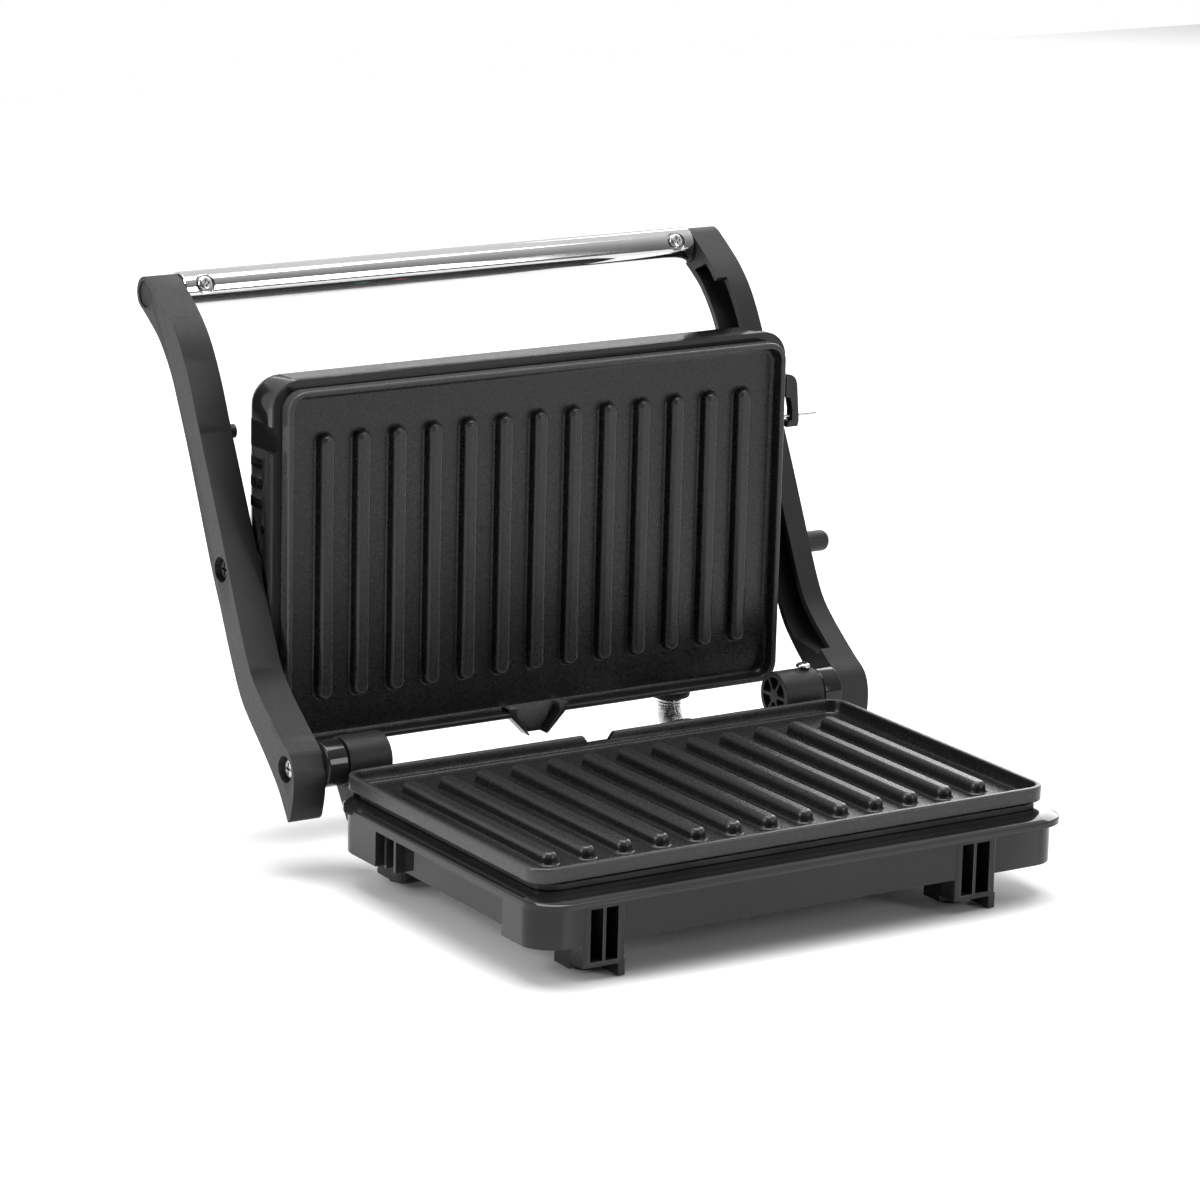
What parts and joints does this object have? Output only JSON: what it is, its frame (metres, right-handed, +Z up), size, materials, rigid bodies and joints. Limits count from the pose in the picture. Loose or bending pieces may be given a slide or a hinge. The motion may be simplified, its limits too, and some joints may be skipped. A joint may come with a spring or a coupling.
{
  "type": "panini press",
  "caption": "Open contact grill: two ribbed plates in glossy housings, lid pivoted between S-curved arms with a round bar handle, base on feet.",
  "frame": {"origin": "middle of the whole box in X and Y, on the plane the foot pads stand on", "axes": "X along the hinge, +X to the user's right; -Y is the front, where the handle comes down; +Z up"},
  "size_m": [0.2792, 0.287, 0.2142],
  "materials": {
    "gloss_shell": "gloss",
    "matte_body": "fine matte texture",
    "coated_plate": "non-stick coating, fine speckle",
    "painted_sheet": "matte black paint",
    "lid_pan": "satin",
    "dark_sheet": "dark satin",
    "bright_steel": "zinc plated",
    "wound_steel": "bright, close wound",
    "chrome_tube": "mirror chrome",
    "black_rubber": "matte",
    "red_lens": "clear tinted",
    "green_lens": "clear tinted"
  },
  "bodies": {
    "base": {"lower_housing": "gloss_shell", "base_bottom_cover": "painted_sheet", "lower_plate": "coated_plate", "lower_reflector": "dark_sheet", "lower_heater": "bright_steel", "lower_thermostat": "bright_steel", "foot_pad_front_left": "black_rubber", "foot_pad_front_right": "black_rubber", "foot_pad_rear_left": "black_rubber", "foot_pad_rear_right": "black_rubber", "cover_screw_1": "bright_steel", "cover_screw_2": "bright_steel", "cover_screw_3": "bright_steel", "cover_screw_4": "bright_steel", "hinge_barrel_left": "matte_body", "hinge_barrel_right": "matte_body", "barrel_screw": "bright_steel", "power_cord_gland": "black_rubber", "conduit_grommet_base": "black_rubber", "wire_conduit": "wound_steel"},
    "collars": {"hinge_collar_left": "gloss_shell", "hinge_collar_right": "gloss_shell", "hinge_bolt_left": "bright_steel", "hinge_bolt_right": "bright_steel"},
    "arms": {"arm_left": "matte_body", "arm_right": "matte_body", "handle_tube": "chrome_tube", "handle_screw_left": "bright_steel", "handle_screw_right": "bright_steel", "lid_pivot_pin_left": "matte_body", "lid_pivot_pin_right": "matte_body"},
    "lid": {"lid_pivot_washer_left": "matte_body", "lid_pivot_washer_right": "matte_body", "upper_housing": "gloss_shell", "upper_plate": "coated_plate", "upper_reflector": "lid_pan", "upper_heater": "bright_steel", "thermal_fuse": "bright_steel", "red_indicator_lens": "red_lens", "green_indicator_lens": "green_lens", "conduit_grommet_lid": "black_rubber", "latch_pin": "bright_steel"},
    "latch": {"latch_hook": "gloss_shell"},
    "release": {"release_knob": "matte_body"}
  },
  "joints": [
    {"name": "hinge_release", "type": "hinge", "parent": "base", "child": "collars", "pos_m": [-0.00595, 0.01932, 0.043], "axis": [1, 0, 0], "range_deg": [-32, 0], "deforming": ["wire_conduit"]},
    {"name": "arm_hinge", "type": "hinge", "parent": "collars", "child": "arms", "pos_m": [-0.00595, 0.01932, 0.043], "axis": [1, 0, 0], "range_deg": [0, 114.7], "deforming": ["wire_conduit"]},
    {"name": "lid_pivot", "type": "hinge", "parent": "arms", "child": "lid", "pos_m": [-0.00595, 0.07192, 0.1095], "axis": [1, 0, 0], "range_deg": [-24.8, 0], "deforming": ["wire_conduit"]},
    {"name": "latch_swing", "type": "hinge", "parent": "lid", "child": "latch", "pos_m": [0.11705, 0.06002, 0.148], "axis": [1, 0, 0], "range_deg": [0, 90]},
    {"name": "release_pull", "type": "slide", "parent": "arms", "child": "release", "axis": [1, 0, 0], "range_m": [0, 0.004], "stiffness_N_per_m": 300}
  ],
  "couplings": [
    {"joint": "lid_pivot", "follows": "arm_hinge", "ratio": -0.2153}
  ]
}
